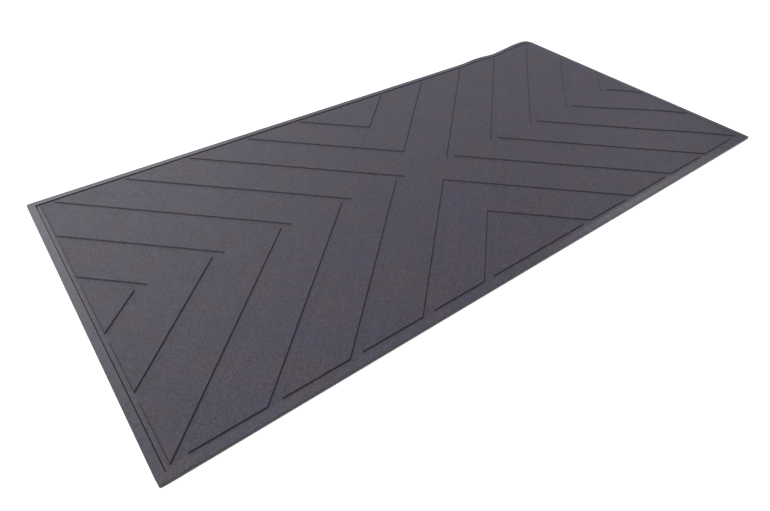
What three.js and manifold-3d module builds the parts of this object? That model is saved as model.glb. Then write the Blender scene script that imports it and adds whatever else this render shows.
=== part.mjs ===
// A moulded rubber bed mat for a pickup truck, one piece, lying on a level floor.
// Millimetres. +X runs along the mat, +Y across it, +Z up. The origin is on the floor under the mat's centre.
// The face is a set of raised panels parted by mitred grooves that form a cross of chevrons, inside a
// raised rim. The +X end has a shallow hump, as rubber keeps after lying rolled up.

import * as THREE from "three";
import { mergeVertices } from "three/addons/utils/BufferGeometryUtils.js";
import Module from "manifold-3d";

// Overall size
const matLength = 2416.7;
const matWidth = 1219.2;
const matThickness = 9.5;
const cornerRadius = 6;
const edgeChamfer = 1.2;

// Moulded face
const grooveDepth = 3.2;
const wallLean = 0.8; // how far a groove's wall leans out for each millimetre of height
const rimWidth = 23;
const rimGrooveWidth = 16;
const rimInnerRadius = 5;
const fieldRadius = 2;
const crossRun = 193.5; // the width of the middle cross's arms, measured along a side of the mat
const panelRun = 188; // a chevron panel's width, measured the same way
const grooveRun = 42; // and a groove's

// Hump in the +X end, highest on the +Y side; its foot, the end of the mat, is down on the floor
const humpHeight = 18;
const humpCrestInset = 85; // from the end of the mat to the crest
const humpBackRun = 235; // from the crest to where the mat lies flat again

// A lower ripple behind the hump, on the +Y side only
const rippleHeight = 6;
const rippleCrestInset = 390;
const rippleHalfRun = 120;
const rippleReach = 520; // how far the ripple runs in from the +Y side

// Facets
const cornerSteps = 3;
const bendTolerance = 0.4; // how far a facet may stand off the bent surface
const bendSamples = 8; // parts of an edge whose ends are tried against the bent surface
const bendRounds = 7; // halvings at most, from the longest edge down
const cutOverrun = 1; // how far a cutting solid stands past what it cuts
const samePoint = 0.001; // points this near each other are one

const fieldInset = rimWidth + rimGrooveWidth;
const grooveFloor = matThickness - grooveDepth;
const bendStart = matLength / 2 - Math.max(humpCrestInset + humpBackRun, rippleCrestInset + rippleHalfRun);

const wasm = await Module();
wasm.setup();

function roundedRectangle(inset, radius) {
  const halfLength = matLength / 2 - inset;
  const halfWidth = matWidth / 2 - inset;
  const centres = [
    [halfLength - radius, halfWidth - radius],
    [radius - halfLength, halfWidth - radius],
    [radius - halfLength, radius - halfWidth],
    [halfLength - radius, radius - halfWidth],
  ];
  return centres.flatMap(([x, y], corner) =>
    Array.from({ length: cornerSteps + 1 }, (_, step) => {
      const angle = ((corner + step / cornerSteps) * Math.PI) / 2;
      return new THREE.Vector2(x + radius * Math.cos(angle), y + radius * Math.sin(angle));
    }),
  );
}

// The outline of one mitred groove between two distances from the mat's centre, turned to one side.
function chevron(nearSide, farSide, turn) {
  const reach = matLength;
  const outline = [
    [nearSide, 0],
    [nearSide + reach, -reach],
    [farSide + reach, -reach],
    [farSide, 0],
    [farSide + reach, reach],
    [nearSide + reach, reach],
  ];
  const centre = new THREE.Vector2();
  return outline.map(([x, y]) => new THREE.Vector2(x, y).rotateAround(centre, turn));
}

function solidFrom(geometry) {
  const bare = new THREE.BufferGeometry();
  bare.setAttribute("position", geometry.getAttribute("position"));
  bare.setIndex(geometry.getIndex());
  const merged = mergeVertices(bare, samePoint);
  return new wasm.Manifold(
    new wasm.Mesh({
      numProp: 3,
      vertProperties: new Float32Array(merged.getAttribute("position").array),
      triVerts: new Uint32Array(merged.getIndex().array),
    }),
  );
}

// A closed solid through level outlines that all have the same number of points.
function loft(levels) {
  const count = levels[0].outline.length;
  const positions = levels.flatMap(({ outline, z }) => outline.flatMap((point) => [point.x, point.y, z]));
  const faces = [];
  for (let level = 0; level + 1 < levels.length; level++) {
    for (let i = 0; i < count; i++) {
      const a = level * count + i;
      const b = level * count + ((i + 1) % count);
      faces.push(a, b, b + count, a, b + count, a + count);
    }
  }
  const top = (levels.length - 1) * count;
  for (const [a, b, c] of THREE.ShapeUtils.triangulateShape(levels[0].outline, [])) {
    faces.push(c, b, a, top + a, top + b, top + c);
  }
  const geometry = new THREE.BufferGeometry();
  geometry.setAttribute("position", new THREE.Float32BufferAttribute(positions, 3));
  geometry.setIndex(faces);
  return solidFrom(geometry);
}

// A cutting solid from the groove floor to just above the mat. Its outline follows the lean of the walls.
function leaningBlock(outlineAt) {
  const zs = [grooveFloor, matThickness + cutOverrun];
  return loft(zs.map((z) => ({ z, outline: outlineAt(wallLean * (matThickness - z)) })));
}

function slab() {
  const outline = roundedRectangle(0, cornerRadius);
  return loft([
    { z: 0, outline },
    { z: matThickness - edgeChamfer, outline },
    { z: matThickness, outline: roundedRectangle(edgeChamfer, cornerRadius - edgeChamfer) },
  ]);
}

// The mitred grooves that run out to one side, as long as a groove's whole corner lies on the field.
function groovesTowards(turn, halfExtent) {
  const grooves = [];
  const pitch = panelRun + grooveRun;
  for (let start = crossRun / 2; start + grooveRun < halfExtent - fieldInset; start += pitch) {
    grooves.push(
      leaningBlock((lean) => {
        const along = lean * Math.SQRT2;
        return chevron(start + along, start + grooveRun - along, turn);
      }),
    );
  }
  return grooves;
}

function panels() {
  const field = leaningBlock((lean) => roundedRectangle(fieldInset - lean, fieldRadius));
  const grooves = [0, 1, 2, 3].flatMap((quarter) =>
    groovesTowards((quarter * Math.PI) / 2, quarter % 2 ? matWidth / 2 : matLength / 2),
  );
  return grooves.reduce((rest, groove) => rest.subtract(groove), field);
}

function flatMat() {
  const insideRim = leaningBlock((lean) => roundedRectangle(rimWidth + lean, rimInnerRadius));
  return slab().subtract(insideRim.subtract(panels()));
}

function cosineBump(distance, halfRun) {
  return Math.abs(distance) < halfRun ? (1 + Math.cos((Math.PI * distance) / halfRun)) / 2 : 0;
}

function humpProfile(fromEnd) {
  const fromCrest = fromEnd - humpCrestInset;
  return fromCrest < 0 ? 1 - (fromCrest / humpCrestInset) ** 2 : cosineBump(fromCrest, humpBackRun);
}

function lift(x, y) {
  const fromEnd = matLength / 2 - x;
  const fromFarSide = matWidth / 2 - y;
  const humpShare = Math.cos((Math.PI * fromFarSide) / (2 * matWidth));
  const hump = humpHeight * humpShare * humpProfile(fromEnd);
  const rippleShare = cosineBump(fromFarSide, rippleReach);
  return hump + rippleHeight * rippleShare * cosineBump(fromEnd - rippleCrestInset, rippleHalfRun);
}

// Whether the bent surface leaves the straight line between two points by more than the tolerance.
function bendsBetween(from, to) {
  const [start, end] = [from, to].sort((a, b) => a.x - b.x || a.y - b.y || a.z - b.z);
  const startLift = lift(start.x, start.y);
  const endLift = lift(end.x, end.y);
  for (let i = 1; i < bendSamples; i++) {
    const share = i / bendSamples;
    const { x, y } = start.clone().lerp(end, share);
    const straight = startLift + (endLift - startLift) * share;
    if (Math.abs(lift(x, y) - straight) > bendTolerance) return true;
  }
  return false;
}

function middleIfBent(from, to) {
  return bendsBetween(from, to) ? from.clone().add(to).multiplyScalar(0.5) : null;
}

function whereBendStarts(from, to) {
  const [left, right] = from.x < to.x ? [from, to] : [to, from];
  if (left.x > bendStart - samePoint || right.x < bendStart + samePoint) return null;
  return left.clone().lerp(right, (bendStart - left.x) / (right.x - left.x));
}

function edgeLength([from, to]) {
  return from.distanceTo(to);
}

// Cuts each edge at the point that pointOn finds on it. That point depends on the edge's own two
// ends alone, so the two triangles that share an edge get the same one and the skin stays closed.
// Each triangle is then fanned from the new point on its longest cut edge, for facets that aren't thin.
function cutEdges(triangles, pointOn) {
  return triangles.flatMap(([a, b, c]) => {
    const cut = [[a, b, c], [b, c, a], [c, a, b]].filter(([from, to]) => pointOn(from, to));
    if (!cut.length) return [[a, b, c]];
    const corners = cut.sort((one, other) => edgeLength(other) - edgeLength(one))[0];
    const ring = corners.flatMap((from, i) => {
      const point = pointOn(from, corners[(i + 1) % 3]);
      return point ? [from, point] : [from];
    });
    const [last, apex, ...rest] = ring;
    return [...rest.slice(1), last].map((point, i) => [apex, rest[i], point]);
  });
}

function bentMat() {
  const { vertProperties, triVerts, numProp } = flatMat().getMesh();
  const points = Array.from({ length: vertProperties.length / numProp }, (_, i) =>
    new THREE.Vector3().fromArray(vertProperties, i * numProp),
  );
  let triangles = [];
  for (let i = 0; i < triVerts.length; i += 3) {
    triangles.push([points[triVerts[i]], points[triVerts[i + 1]], points[triVerts[i + 2]]]);
  }
  triangles = cutEdges(triangles, whereBendStarts);
  for (let round = 0; round < bendRounds; round++) triangles = cutEdges(triangles, middleIfBent);
  const positions = triangles.flat().flatMap(({ x, y, z }) => [x, y, z + lift(x, y)]);
  const geometry = new THREE.BufferGeometry();
  geometry.setAttribute("position", new THREE.Float32BufferAttribute(positions, 3));
  geometry.computeVertexNormals();
  return geometry;
}

function rubber() {
  return new THREE.MeshStandardMaterial({ color: 0x3d3b42, roughness: 0.75, metalness: 0 });
}

const part = new THREE.Group();
part.name = "truck bed mat";
const bedMat = new THREE.Mesh(bentMat(), rubber());
bedMat.name = "bed_mat";
part.add(bedMat);

export default part;
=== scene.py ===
# A rubber truck bed mat on a pale floor, in soft studio light.
# Metres. +X runs along the mat, +Y across it, +Z up, with the origin on the floor under its centre.

import math

import bmesh
import bpy
import numpy as np
from mathutils import Matrix, Vector


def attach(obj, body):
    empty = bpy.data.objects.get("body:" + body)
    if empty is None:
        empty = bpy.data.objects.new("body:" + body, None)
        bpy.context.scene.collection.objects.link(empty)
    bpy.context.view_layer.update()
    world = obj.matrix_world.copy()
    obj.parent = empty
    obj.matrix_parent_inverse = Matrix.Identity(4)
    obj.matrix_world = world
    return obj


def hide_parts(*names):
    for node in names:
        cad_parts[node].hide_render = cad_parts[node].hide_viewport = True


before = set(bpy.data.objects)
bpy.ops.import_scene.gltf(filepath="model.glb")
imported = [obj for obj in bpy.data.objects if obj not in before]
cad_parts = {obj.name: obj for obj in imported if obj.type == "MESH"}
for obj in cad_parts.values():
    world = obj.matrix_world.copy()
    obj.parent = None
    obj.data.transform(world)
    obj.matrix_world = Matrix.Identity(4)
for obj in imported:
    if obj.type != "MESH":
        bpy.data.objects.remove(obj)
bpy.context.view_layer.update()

MM = 0.001
IMAGE_WIDTH = 770

# The mat, with the same sizes as the solid model
LENGTH = 2416.7 * MM
WIDTH = 1219.2 * MM
THICKNESS = 9.5 * MM
CORNER_RADIUS = 6 * MM
GROOVE_DEPTH = 3.2 * MM
WALL_LEAN = 0.8
RIM_WIDTH = 23 * MM
RIM_GROOVE_WIDTH = 16 * MM
CROSS_RUN = 193.5 * MM
PANEL_RUN = 188 * MM
GROOVE_RUN = 42 * MM

# The hump in the +X end and the ripple behind it
HUMP_HEIGHT = 18 * MM
HUMP_CREST_INSET = 85 * MM
HUMP_BACK_RUN = 235 * MM
RIPPLE_HEIGHT = 6 * MM
RIPPLE_CREST_INSET = 390 * MM
RIPPLE_HALF_RUN = 120 * MM
RIPPLE_REACH = 520 * MM

# Rounded edges of the moulding
CREST_RADIUS = 0.8 * MM
FOOT_RADIUS = 0.7 * MM
ROUND_STEPS = 3
SUPPORT_GAP = 0.6 * MM  # a line this far out on the flat keeps its shading flat
TOP_EDGE_RADIUS = 1.6 * MM
BOTTOM_EDGE_RADIUS = 0.8 * MM
SIDE_SUPPORT = 2 * MM  # the same for a line on the side wall, above its bottom rounding

SHARP_ANGLE = math.radians(25)  # keeps a groove's two sides apart at their mitre

SAME_POINT = 0.01 * MM  # points nearer than this are one point
ON_THE_CUT = 0.001 * MM  # points nearer to a cut than this lie on it
UNDERSIDE_RISE = BOTTOM_EDGE_RADIUS / 10  # faces with their middle lower than this are the underside

# Spacing of the lines that let the sheet bend
BEND_STEP = 14 * MM
CROSS_STEP = 50 * MM

# Camera
FOCAL_PX = 571.8
AXIS_RIGHT_PX = 34.3  # how far the photo's optical axis lies right of its middle
SENSOR_WIDTH = 36.0
CAMERA_PLACE = (-1.15586, -1.37193, 1.17346)
CAMERA_AZIMUTH = 0.6919  # from +Y towards +X
CAMERA_DIP = 0.7294  # below the horizontal
CAMERA_ROLL = 0.0316

# Light
WHITE = (1, 1, 1, 1)
SKY_TOWARDS = (-0.45, 0.70, 0.55)  # where the soft light is brightest, beyond and above the far side
SKY_SPREAD = (0.1, 1.0)  # how nearly a direction points that way where it starts, and where it is full
SKY_RANGE = (0.38, 1.70)  # its strength away from there, and at its brightest
SHEEN_PLACE = (-1.0, 3.4, 2.2)
SHEEN_AIM = (-0.6, 0, 0)
SHEEN_SIZE = (3, 1.6)
SHEEN_POWER = 14
GLINT_PLACE = (2.3, 0.25, 1.4)
GLINT_AIM = (0.75, -0.6, 0)
GLINT_SIZE = (0.8, 0.8)
GLINT_POWER = 3
FLOOR_SIZE = 300
FLOOR_COLOUR = (0.93, 0.93, 0.93, 1)
FLOOR_ROUGHNESS = 0.9
FLOOR_GAP = 0.3 * MM  # below the mat, so that the two faces don't lie in one plane
FLOOR_GLOW = 0.6  # keeps the floor white under the soft light

# Rubber
RUBBER_COOL = (0.039, 0.032, 0.063, 1)
RUBBER_WARM = (0.048, 0.037, 0.050, 1)
BLOOM_SIZE = 0.16  # metres across one cloud of colour
BLOOM_DETAIL = 4
MOTTLE_SIZE = 0.022
MOTTLE_DETAIL = 3
GRAIN_SIZE = 0.004
GRAIN_DETAIL = 2
STREAK_LENGTH = 0.7
STREAK_WIDTH = 0.02
STREAK_DETAIL = 3
STREAK_TURN = math.radians(45)
GRAIN_HEIGHT = 0.45 * MM
NOISE_SPAN = (0.3, 0.7)  # the part of a noise's values that its contrast is spread over
MIXED_SPAN = (0.25, 0.75)  # the same, for two noises put together
BLOOM_CONTRAST = (0.4, 1.4)
GRAIN_CONTRAST = (0.45, 1.55)
STREAK_CONTRAST = (0.85, 1.15)
STREAK_GLOSS = (-0.2, 0.2)  # what the streaks add to the mottle that sets the roughness
SLOPE_SPAN = (0.65, 0.97)  # the upward share of the normal, on a steep wall and on a level face, over which the painted wall shade fades out
ROUGHNESS_RANGE = (0.50, 0.60)
PAINTED_WALL_SHADE = 0.3  # painted shade: the steep walls' colour is darkened to this share of the level faces' brightness
RIM_SMOOTHER = 0.26  # how much less rough the plain rim is than the panels


def make_camera():
    data = bpy.data.cameras.new("camera")
    data.sensor_width = SENSOR_WIDTH
    data.lens = FOCAL_PX / IMAGE_WIDTH * SENSOR_WIDTH
    data.shift_x = -AXIS_RIGHT_PX / IMAGE_WIDTH
    camera = bpy.data.objects.new("camera", data)
    bpy.context.scene.collection.objects.link(camera)
    ahead = Vector(
        (
            math.sin(CAMERA_AZIMUTH) * math.cos(CAMERA_DIP),
            math.cos(CAMERA_AZIMUTH) * math.cos(CAMERA_DIP),
            -math.sin(CAMERA_DIP),
        )
    )
    level_right = ahead.cross(Vector((0, 0, 1))).normalized()
    level_up = level_right.cross(ahead)
    right = level_right * math.cos(CAMERA_ROLL) + level_up * math.sin(CAMERA_ROLL)
    up = level_up * math.cos(CAMERA_ROLL) - level_right * math.sin(CAMERA_ROLL)
    turn = Matrix((right, up, -ahead)).transposed().to_4x4()
    camera.matrix_world = Matrix.Translation(CAMERA_PLACE) @ turn
    bpy.context.scene.camera = camera


def rounded_step(foot, crest):
    """Offsets and heights up a leaning wall with its foot at offset 0 and both its ends rounded."""
    rise = crest - foot
    run = rise * WALL_LEAN
    slope = math.atan2(rise, run)
    foot_back = FOOT_RADIUS * math.tan(slope / 2)
    crest_back = CREST_RADIUS * math.tan(slope / 2)
    points = []
    for i in range(ROUND_STEPS + 1):
        a = slope * i / ROUND_STEPS
        points.append(
            (FOOT_RADIUS * math.sin(a) - foot_back, foot + FOOT_RADIUS * (1 - math.cos(a)))
        )
    for i in range(ROUND_STEPS + 1):
        a = slope * (1 - i / ROUND_STEPS)
        points.append(
            (
                run + crest_back - CREST_RADIUS * math.sin(a),
                crest - CREST_RADIUS * (1 - math.cos(a)),
            )
        )
    return points


GROOVE_FLOOR = THICKNESS - GROOVE_DEPTH
STEP = rounded_step(GROOVE_FLOOR, THICKNESS)
STEP_RUN = GROOVE_DEPTH * WALL_LEAN

# From a wall's top edge out to the support line above it, and in to the one past its foot
HIGH_SUPPORT = STEP[-1][0] - STEP_RUN + SUPPORT_GAP
LOW_SUPPORT = STEP_RUN - STEP[0][0] + SUPPORT_GAP

FIELD_INSET = RIM_WIDTH + RIM_GROOVE_WIDTH
RIM_GROOVE_MIDDLE = RIM_WIDTH + RIM_GROOVE_WIDTH / 2
DIAGONAL = math.sqrt(2)  # length along a side for each one across a groove, which runs at 45 degrees


def groove_lines(near_edge, far_edge):
    """Breakpoints across one groove, with its edges given by their places along a side of the mat."""
    lines = []
    for edge, inwards in ((near_edge, 1), (far_edge, -1)):
        lines += [(edge + inwards * DIAGONAL * (STEP_RUN - run), z) for run, z in STEP]
        lines.append((edge - inwards * DIAGONAL * HIGH_SUPPORT, THICKNESS))
        lines.append((edge + inwards * DIAGONAL * LOW_SUPPORT, GROOVE_FLOOR))
    return lines


def groove_table():
    """Breakpoints of the groove pattern, as (distance along the mat less that across it, height)."""
    table = []
    for half, sign in ((LENGTH / 2, 1), (WIDTH / 2, -1)):
        start = CROSS_RUN / 2
        while start + GROOVE_RUN < half - FIELD_INSET:
            table += [(sign * w, z) for w, z in groove_lines(start, start + GROOVE_RUN)]
            start += PANEL_RUN + GROOVE_RUN
    return sorted(table)


def border_table():
    """Breakpoints of the rim and the rim groove, as (distance in from the mat's edge, height)."""
    table = [(RIM_WIDTH + STEP_RUN - run, z) for run, z in STEP]
    table += [(FIELD_INSET - STEP_RUN + run, z) for run, z in STEP]
    table += [(RIM_WIDTH - HIGH_SUPPORT, THICKNESS), (RIM_WIDTH + LOW_SUPPORT, GROOVE_FLOOR)]
    table += [(FIELD_INSET - LOW_SUPPORT, GROOVE_FLOOR), (FIELD_INSET + HIGH_SUPPORT, THICKNESS)]
    for i in range(ROUND_STEPS + 1):
        a = math.pi / 2 * i / ROUND_STEPS
        table.append(
            (
                TOP_EDGE_RADIUS * (1 - math.sin(a)),
                THICKNESS - TOP_EDGE_RADIUS * (1 - math.cos(a)),
            )
        )
    table.append((TOP_EDGE_RADIUS + SUPPORT_GAP, THICKNESS))
    return sorted(table)


GROOVES = groove_table()
BORDER = border_table()


def face_height(x, y):
    """Height of the moulded face over a point of the flat mat."""
    spread = np.abs(x) - np.abs(y)
    pattern = np.interp(spread, *zip(*GROOVES))
    inset = np.minimum(LENGTH / 2 - np.abs(x), WIDTH / 2 - np.abs(y))
    border = np.interp(inset, *zip(*BORDER))
    inside = inset > RIM_GROOVE_MIDDLE
    return np.where(inside, np.minimum(pattern, border), border)


def cosine_bump(distance, half_run):
    bump = (1 + np.cos(np.pi * distance / half_run)) / 2
    return np.where(np.abs(distance) < half_run, bump, 0)


def lift(x, y):
    """How far the sheet stands off the floor."""
    from_end = LENGTH / 2 - x
    from_far_side = WIDTH / 2 - y
    from_crest = from_end - HUMP_CREST_INSET
    front = 1 - (from_crest / HUMP_CREST_INSET) ** 2
    profile = np.where(from_crest < 0, front, cosine_bump(from_crest, HUMP_BACK_RUN))
    hump = HUMP_HEIGHT * np.cos(np.pi * from_far_side / (2 * WIDTH)) * profile
    ripple = RIPPLE_HEIGHT * cosine_bump(from_far_side, RIPPLE_REACH)
    return hump + ripple * cosine_bump(from_end - RIPPLE_CREST_INSET, RIPPLE_HALF_RUN)


def cut(bm, faces, place, normal):
    geom = set(faces)
    for face in faces:
        geom.update(face.edges)
        geom.update(face.verts)
    bmesh.ops.bisect_plane(bm, geom=list(geom), dist=ON_THE_CUT, plane_co=place, plane_no=normal)


def bend_start():
    reach = max(HUMP_CREST_INSET + HUMP_BACK_RUN, RIPPLE_CREST_INSET + RIPPLE_HALF_RUN)
    return LENGTH / 2 - reach


def bend_lines():
    return np.arange(bend_start(), LENGTH / 2 - RIM_WIDTH, BEND_STEP).tolist()


def cross_lines(low):
    return np.arange(low + CROSS_STEP, WIDTH / 2 - RIM_WIDTH, CROSS_STEP).tolist()


def quarter_sheet(side_x, side_y):
    """One quarter of the flat face, cut along every line where its height or its bend changes."""
    bm = bmesh.new()
    end_x = side_x * LENGTH / 2
    end_y = side_y * WIDTH / 2
    corners = [(0, 0, 0), (end_x, 0, 0), (end_x, end_y, 0), (0, end_y, 0)]
    bm.faces.new([bm.verts.new(c) for c in corners])
    for inset, _ in BORDER:
        if inset > 0:
            cut(bm, bm.faces[:], (side_x * (LENGTH / 2 - inset), 0, 0), (1, 0, 0))
            cut(bm, bm.faces[:], (0, side_y * (WIDTH / 2 - inset), 0), (0, 1, 0))

    def in_field():
        chosen = []
        for face in bm.faces:
            x, y, _ = face.calc_center_median()
            if min(LENGTH / 2 - abs(x), WIDTH / 2 - abs(y)) > RIM_GROOVE_MIDDLE:
                chosen.append(face)
        return chosen

    for spread, _ in GROOVES:
        cut(bm, in_field(), (side_x * spread, 0, 0), (side_x, -side_y, 0))
    for y in cross_lines(0):
        cut(bm, bm.faces[:], (0, side_y * y, 0), (0, 1, 0))
    if side_x > 0:
        for x in bend_lines():
            cut(bm, bm.faces[:], (x, 0, 0), (1, 0, 0))
    return bm


def sheet_mesh():
    """The whole flat face, before it bends."""
    whole = bmesh.new()
    for side_x in (-1, 1):
        for side_y in (-1, 1):
            part = quarter_sheet(side_x, side_y)
            mesh = bpy.data.meshes.new("quarter")
            part.to_mesh(mesh)
            part.free()
            whole.from_mesh(mesh)
            bpy.data.meshes.remove(mesh)
    bmesh.ops.remove_doubles(whole, verts=whole.verts[:], dist=SAME_POINT)
    for face in whole.faces:
        if face.normal.z < 0:
            face.normal_flip()
    for vert in whole.verts:
        vert.co.z = float(face_height(np.array(vert.co.x), np.array(vert.co.y)))
    return whole


def add_sides(bm):
    """Walls down from the face's outline, rounded at the bottom, and the edges left open there."""
    ring = [e for e in bm.edges if e.is_boundary]
    low = BOTTOM_EDGE_RADIUS
    levels = [(0, low + SIDE_SUPPORT), (0, low)]
    for i in range(1, ROUND_STEPS + 1):
        a = math.pi / 2 * i / ROUND_STEPS
        levels.append((low * (1 - math.cos(a)), low * (1 - math.sin(a))))
    levels.append((low + SUPPORT_GAP, 0))
    for inset, height in levels:
        made = bmesh.ops.extrude_edge_only(bm, edges=ring)["geom"]
        for vert in [g for g in made if isinstance(g, bmesh.types.BMVert)]:
            x = vert.co.x
            y = vert.co.y
            vert.co.x = math.copysign(min(abs(x), LENGTH / 2 - inset), x)
            vert.co.y = math.copysign(min(abs(y), WIDTH / 2 - inset), y)
            vert.co.z = height
        ring = [g for g in made if isinstance(g, bmesh.types.BMEdge)]
    return ring


def underside(bm):
    return [f for f in bm.faces if abs(f.calc_center_median().z) < UNDERSIDE_RISE]


def close_underside(bm, ring):
    """The flat underside, cut into a grid where the sheet bends."""
    bmesh.ops.holes_fill(bm, edges=ring, sides=0)
    for x in bend_lines():
        cut(bm, underside(bm), (x, 0, 0), (1, 0, 0))
    for y in cross_lines(-WIDTH / 2 + RIM_WIDTH):
        bent = [face for face in underside(bm) if face.calc_center_median().x > bend_start()]
        cut(bm, bent, (0, y, 0), (0, 1, 0))


def round_corners(bm):
    """Pulls the outline's square corners in to their radius."""
    for vert in bm.verts:
        dx = abs(vert.co.x) - (LENGTH / 2 - CORNER_RADIUS)
        dy = abs(vert.co.y) - (WIDTH / 2 - CORNER_RADIUS)
        if dx > 0 and dy > 0:
            reach = max(dx, dy) / math.hypot(dx, dy)
            vert.co.x = math.copysign(LENGTH / 2 - CORNER_RADIUS + dx * reach, vert.co.x)
            vert.co.y = math.copysign(WIDTH / 2 - CORNER_RADIUS + dy * reach, vert.co.y)


def make_mat():
    bm = sheet_mesh()
    ring = add_sides(bm)
    close_underside(bm, ring)
    round_corners(bm)
    for vert in bm.verts:
        vert.co.z += float(lift(np.array(vert.co.x), np.array(vert.co.y)))
    bmesh.ops.triangulate(bm, faces=bm.faces[:])
    bmesh.ops.dissolve_degenerate(bm, dist=SAME_POINT, edges=bm.edges[:])
    bmesh.ops.recalc_face_normals(bm, faces=bm.faces[:])
    mesh = bpy.data.meshes.new("rubber_mat")
    bm.to_mesh(mesh)
    bm.free()
    for polygon in mesh.polygons:
        polygon.use_smooth = True
    mesh.set_sharp_from_angle(angle=SHARP_ANGLE)
    mat = bpy.data.objects.new("rubber_mat", mesh)
    bpy.context.scene.collection.objects.link(mat)
    return mat


def noise(tree, vector, size, detail):
    node = tree.nodes.new("ShaderNodeTexNoise")
    node.inputs["Scale"].default_value = 1 / size
    node.inputs["Detail"].default_value = detail
    tree.links.new(vector, node.inputs["Vector"])
    return node.outputs["Fac"]


def ranged(tree, value, low, high, new_low, new_high):
    node = tree.nodes.new("ShaderNodeMapRange")
    tree.links.new(value, node.inputs["Value"])
    for name, number in zip(("From Min", "From Max", "To Min", "To Max"), (low, high, new_low, new_high)):
        node.inputs[name].default_value = number
    return node.outputs["Result"]


def combined(tree, operation, first, second):
    node = tree.nodes.new("ShaderNodeMath")
    node.operation = operation
    tree.links.new(first, node.inputs[0])
    tree.links.new(second, node.inputs[1])
    return node.outputs["Value"]


def streaked_place(tree, place):
    """The object's own coordinates, drawn out along one diagonal of the pattern."""
    node = tree.nodes.new("ShaderNodeMapping")
    node.vector_type = "TEXTURE"
    node.inputs["Rotation"].default_value = (0, 0, STREAK_TURN)
    node.inputs["Scale"].default_value = (STREAK_LENGTH, STREAK_WIDTH, 1)
    tree.links.new(place, node.inputs["Vector"])
    return node.outputs["Vector"]


def rim_share(tree, place):
    """1 on the rim and 0 on the patterned field, rising across the groove between them."""
    parts = tree.nodes.new("ShaderNodeSeparateXYZ")
    tree.links.new(place, parts.inputs["Vector"])
    sides = []
    for axis, half in (("X", LENGTH / 2), ("Y", WIDTH / 2)):
        distance = tree.nodes.new("ShaderNodeMath")
        distance.operation = "ABSOLUTE"
        tree.links.new(parts.outputs[axis], distance.inputs[0])
        sides.append(ranged(tree, distance.outputs["Value"], half - FIELD_INSET, half - RIM_WIDTH, 0, 1))
    return combined(tree, "MAXIMUM", *sides)


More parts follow.
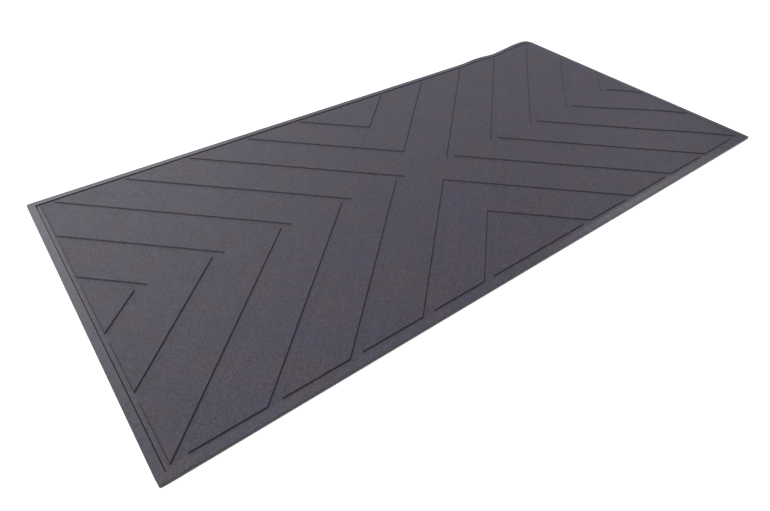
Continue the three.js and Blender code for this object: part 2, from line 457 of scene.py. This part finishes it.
def rubber_material():
    """Dark rubber, clouded between a cool and a warm tint, with a fine grain, faint streaks and painted
    shade on its steep walls.
    """
    material = bpy.data.materials.new("mat_rubber")
    material.use_nodes = True
    tree = material.node_tree
    shader = tree.nodes["Principled BSDF"]
    coordinates = tree.nodes.new("ShaderNodeTexCoord")
    place = coordinates.outputs["Object"]
    bloom = noise(tree, place, BLOOM_SIZE, BLOOM_DETAIL)
    mottle = noise(tree, place, MOTTLE_SIZE, MOTTLE_DETAIL)
    grain = noise(tree, place, GRAIN_SIZE, GRAIN_DETAIL)
    streaks = noise(tree, streaked_place(tree, place), 1, STREAK_DETAIL)

    tint = tree.nodes.new("ShaderNodeMix")
    tint.data_type = "RGBA"
    tint.inputs["A"].default_value = RUBBER_COOL
    tint.inputs["B"].default_value = RUBBER_WARM
    clouds = combined(tree, "MULTIPLY", ranged(tree, bloom, *NOISE_SPAN, *BLOOM_CONTRAST), mottle)
    tree.links.new(ranged(tree, clouds, *MIXED_SPAN, 0, 1), tint.inputs["Factor"])

    shade = tree.nodes.new("ShaderNodeHueSaturation")
    tree.links.new(tint.outputs["Result"], shade.inputs["Color"])
    speckle = combined(
        tree,
        "MULTIPLY",
        ranged(tree, grain, *NOISE_SPAN, *GRAIN_CONTRAST),
        ranged(tree, streaks, *NOISE_SPAN, *STREAK_CONTRAST),
    )
    # Painted shade: the colour darkens on the steep groove walls, by how far the face's normal leans from
    # upright, in place of the shade the light leaves there.
    slope = tree.nodes.new("ShaderNodeSeparateXYZ")
    tree.links.new(coordinates.outputs["Normal"], slope.inputs["Vector"])
    level = ranged(tree, slope.outputs["Z"], *SLOPE_SPAN, PAINTED_WALL_SHADE, 1)
    tree.links.new(combined(tree, "MULTIPLY", speckle, level), shade.inputs["Value"])
    tree.links.new(shade.outputs["Color"], shader.inputs["Base Color"])

    rough = combined(tree, "ADD", mottle, ranged(tree, streaks, *NOISE_SPAN, *STREAK_GLOSS))
    rubbed = ranged(tree, rough, *MIXED_SPAN, *ROUGHNESS_RANGE)
    smoother = ranged(tree, rim_share(tree, place), 0, 1, 0, -RIM_SMOOTHER)
    tree.links.new(combined(tree, "ADD", rubbed, smoother), shader.inputs["Roughness"])

    bump = tree.nodes.new("ShaderNodeBump")
    bump.inputs["Distance"].default_value = GRAIN_HEIGHT
    tree.links.new(grain, bump.inputs["Height"])
    tree.links.new(bump.outputs["Normal"], shader.inputs["Normal"])
    return material


def make_floor():
    bpy.ops.mesh.primitive_plane_add(size=FLOOR_SIZE, location=(0, 0, -FLOOR_GAP))
    floor = bpy.context.object
    floor.name = "floor"
    material = bpy.data.materials.new("pale_floor")
    material.use_nodes = True
    shader = material.node_tree.nodes["Principled BSDF"]
    shader.inputs["Base Color"].default_value = FLOOR_COLOUR
    shader.inputs["Roughness"].default_value = FLOOR_ROUGHNESS
    shader.inputs["Emission Color"].default_value = WHITE
    shader.inputs["Emission Strength"].default_value = FLOOR_GLOW
    floor.data.materials.append(material)


def area_light(name, place, aim, size, power):
    data = bpy.data.lights.new(name, "AREA")
    data.shape = "RECTANGLE"
    data.size, data.size_y = size
    data.energy = power
    light = bpy.data.objects.new(name, data)
    bpy.context.scene.collection.objects.link(light)
    light.location = place
    light.rotation_euler = (Vector(aim) - Vector(place)).to_track_quat("-Z", "Y").to_euler()


def make_light():
    world = bpy.data.worlds.new("studio")
    world.use_nodes = True
    background = world.node_tree.nodes["Background"]
    background.inputs["Color"].default_value = WHITE
    tree = world.node_tree
    towards = tree.nodes.new("ShaderNodeVectorMath")
    towards.operation = "DOT_PRODUCT"
    towards.inputs[1].default_value = SKY_TOWARDS
    direction = tree.nodes.new("ShaderNodeTexCoord").outputs["Generated"]
    tree.links.new(direction, towards.inputs[0])
    strength = ranged(tree, towards.outputs["Value"], *SKY_SPREAD, *SKY_RANGE)
    tree.links.new(strength, background.inputs["Strength"])
    bpy.context.scene.world = world
    bpy.context.scene.view_settings.view_transform = "Standard"
    area_light("sheen", SHEEN_PLACE, SHEEN_AIM, SHEEN_SIZE, SHEEN_POWER)
    area_light("glint", GLINT_PLACE, GLINT_AIM, GLINT_SIZE, GLINT_POWER)


make_camera()
mat = make_mat()
mat.data.materials.append(rubber_material())
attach(mat, "root")
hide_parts("bed_mat")
make_floor()
make_light()
